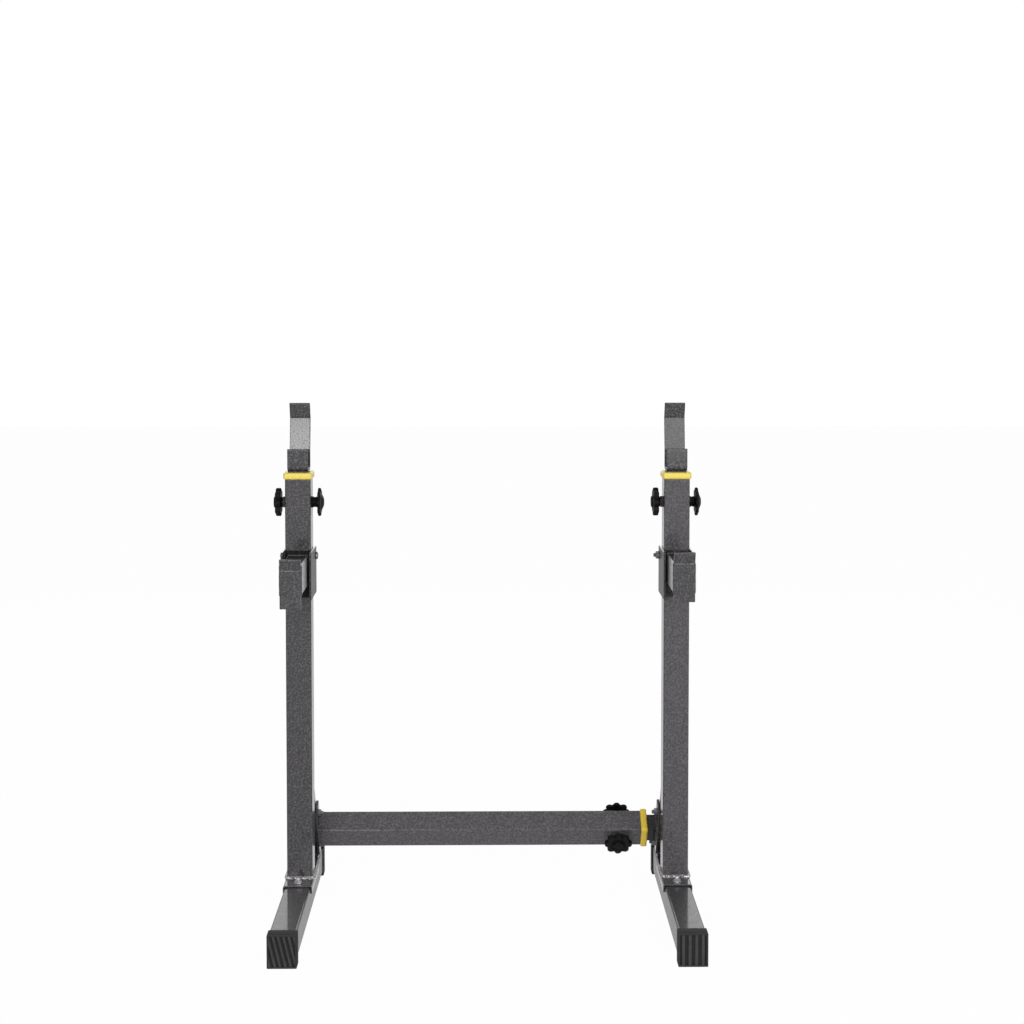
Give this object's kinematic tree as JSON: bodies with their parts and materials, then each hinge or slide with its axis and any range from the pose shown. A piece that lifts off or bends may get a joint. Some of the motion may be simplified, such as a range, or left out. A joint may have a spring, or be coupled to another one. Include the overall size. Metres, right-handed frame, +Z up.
{
  "type": "squat stand",
  "caption": "Height-adjustable squat stand: square uprights on long feet, with telescoping posts, bar hooks and safety catches, joined low down by a telescoping crossbar.",
  "frame": {"origin": "on the floor, under the middle of the stand's overall length and width", "axes": "+Z up; -Y the front, towards the lifter; +X towards the right stand, seen from the front"},
  "size_m": [0.833, 0.552, 0.9917],
  "materials": {
    "frame_paint": "hammered dark grey powder coat",
    "yellow_plastic": "moulded",
    "black_plastic": "moulded",
    "black_rubber": "ribbed",
    "zinc": "zinc plated"
  },
  "bodies": {
    "left_frame": {"left_foot": "frame_paint", "left_front_foot_cap": "black_rubber", "left_rear_foot_cap": "black_rubber", "left_saddle": "frame_paint", "left_saddle_bolt_front": "zinc", "left_saddle_bolt_rear": "zinc", "left_upright": "frame_paint", "left_collar": "yellow_plastic", "left_brace": "frame_paint", "left_catch_bracket": "frame_paint", "left_catch_arm": "frame_paint", "left_catch_plate": "frame_paint", "left_catch_bolt": "zinc", "left_clamp_nut": "zinc", "left_pin_housing": "black_plastic", "crossbar_outer": "frame_paint", "crossbar_collar": "yellow_plastic", "crossbar_clamp_nut": "zinc", "crossbar_pin_housing": "black_plastic", "crossbar_left_plate": "frame_paint", "crossbar_left_bolt_upper": "zinc", "crossbar_left_bolt_lower": "zinc"},
    "right_frame": {"right_foot": "frame_paint", "right_front_foot_cap": "black_rubber", "right_rear_foot_cap": "black_rubber", "right_saddle": "frame_paint", "right_saddle_bolt_front": "zinc", "right_saddle_bolt_rear": "zinc", "right_upright": "frame_paint", "right_collar": "yellow_plastic", "right_brace": "frame_paint", "right_catch_bracket": "frame_paint", "right_catch_arm": "frame_paint", "right_catch_plate": "frame_paint", "right_catch_bolt": "zinc", "right_clamp_nut": "zinc", "right_pin_housing": "black_plastic", "crossbar_inner": "frame_paint", "crossbar_glide": "black_plastic", "crossbar_right_plate": "frame_paint", "crossbar_right_bolt_upper": "zinc", "crossbar_right_bolt_lower": "zinc"},
    "left_post": {"left_post": "frame_paint", "left_glide": "black_plastic", "left_hook": "frame_paint"},
    "right_post": {"right_post": "frame_paint", "right_glide": "black_plastic", "right_hook": "frame_paint"},
    "left_clamp_knob": {"left_clamp_knob": "black_plastic"},
    "left_pull_pin": {"left_pull_pin": "black_plastic"},
    "right_clamp_knob": {"right_clamp_knob": "black_plastic"},
    "right_pull_pin": {"right_pull_pin": "black_plastic"},
    "crossbar_clamp_knob": {"crossbar_clamp_knob": "black_plastic"},
    "crossbar_pull_pin": {"crossbar_pull_pin": "black_plastic"}
  },
  "joints": [
    {"name": "spread", "type": "slide", "parent": "left_frame", "child": "right_frame", "axis": [1, 0, 0], "range_m": [0, 0.3]},
    {"name": "left_height", "type": "slide", "parent": "left_frame", "child": "left_post", "axis": [0, 0, 1], "range_m": [0, 0.66]},
    {"name": "right_height", "type": "slide", "parent": "right_frame", "child": "right_post", "axis": [0, 0, 1], "range_m": [0, 0.66]},
    {"name": "left_clamp_turn", "type": "hinge", "parent": "left_frame", "child": "left_clamp_knob", "pos_m": [-0.3925, 0.061, 0.799], "axis": [-1, 0, 0], "continuous": true},
    {"name": "left_pin_pull", "type": "slide", "parent": "left_frame", "child": "left_pull_pin", "axis": [1, 0, 0], "range_m": [0, 0.009], "stiffness_N_per_m": 1500, "springref_m": -0.003},
    {"name": "right_clamp_turn", "type": "hinge", "parent": "right_frame", "child": "right_clamp_knob", "pos_m": [0.3425, 0.061, 0.799], "axis": [-1, 0, 0], "continuous": true},
    {"name": "right_pin_pull", "type": "slide", "parent": "right_frame", "child": "right_pull_pin", "axis": [1, 0, 0], "range_m": [0, 0.009], "stiffness_N_per_m": 1500, "springref_m": -0.003},
    {"name": "crossbar_clamp_turn", "type": "hinge", "parent": "left_frame", "child": "crossbar_clamp_knob", "pos_m": [0.2634, 0.15899, 0.10457], "axis": [0, -0.8192, -0.5736], "continuous": true},
    {"name": "crossbar_pin_pull", "type": "slide", "parent": "left_frame", "child": "crossbar_pull_pin", "axis": [0, 0.8192, 0.5736], "range_m": [0, 0.009], "stiffness_N_per_m": 1500, "springref_m": -0.003}
  ]
}
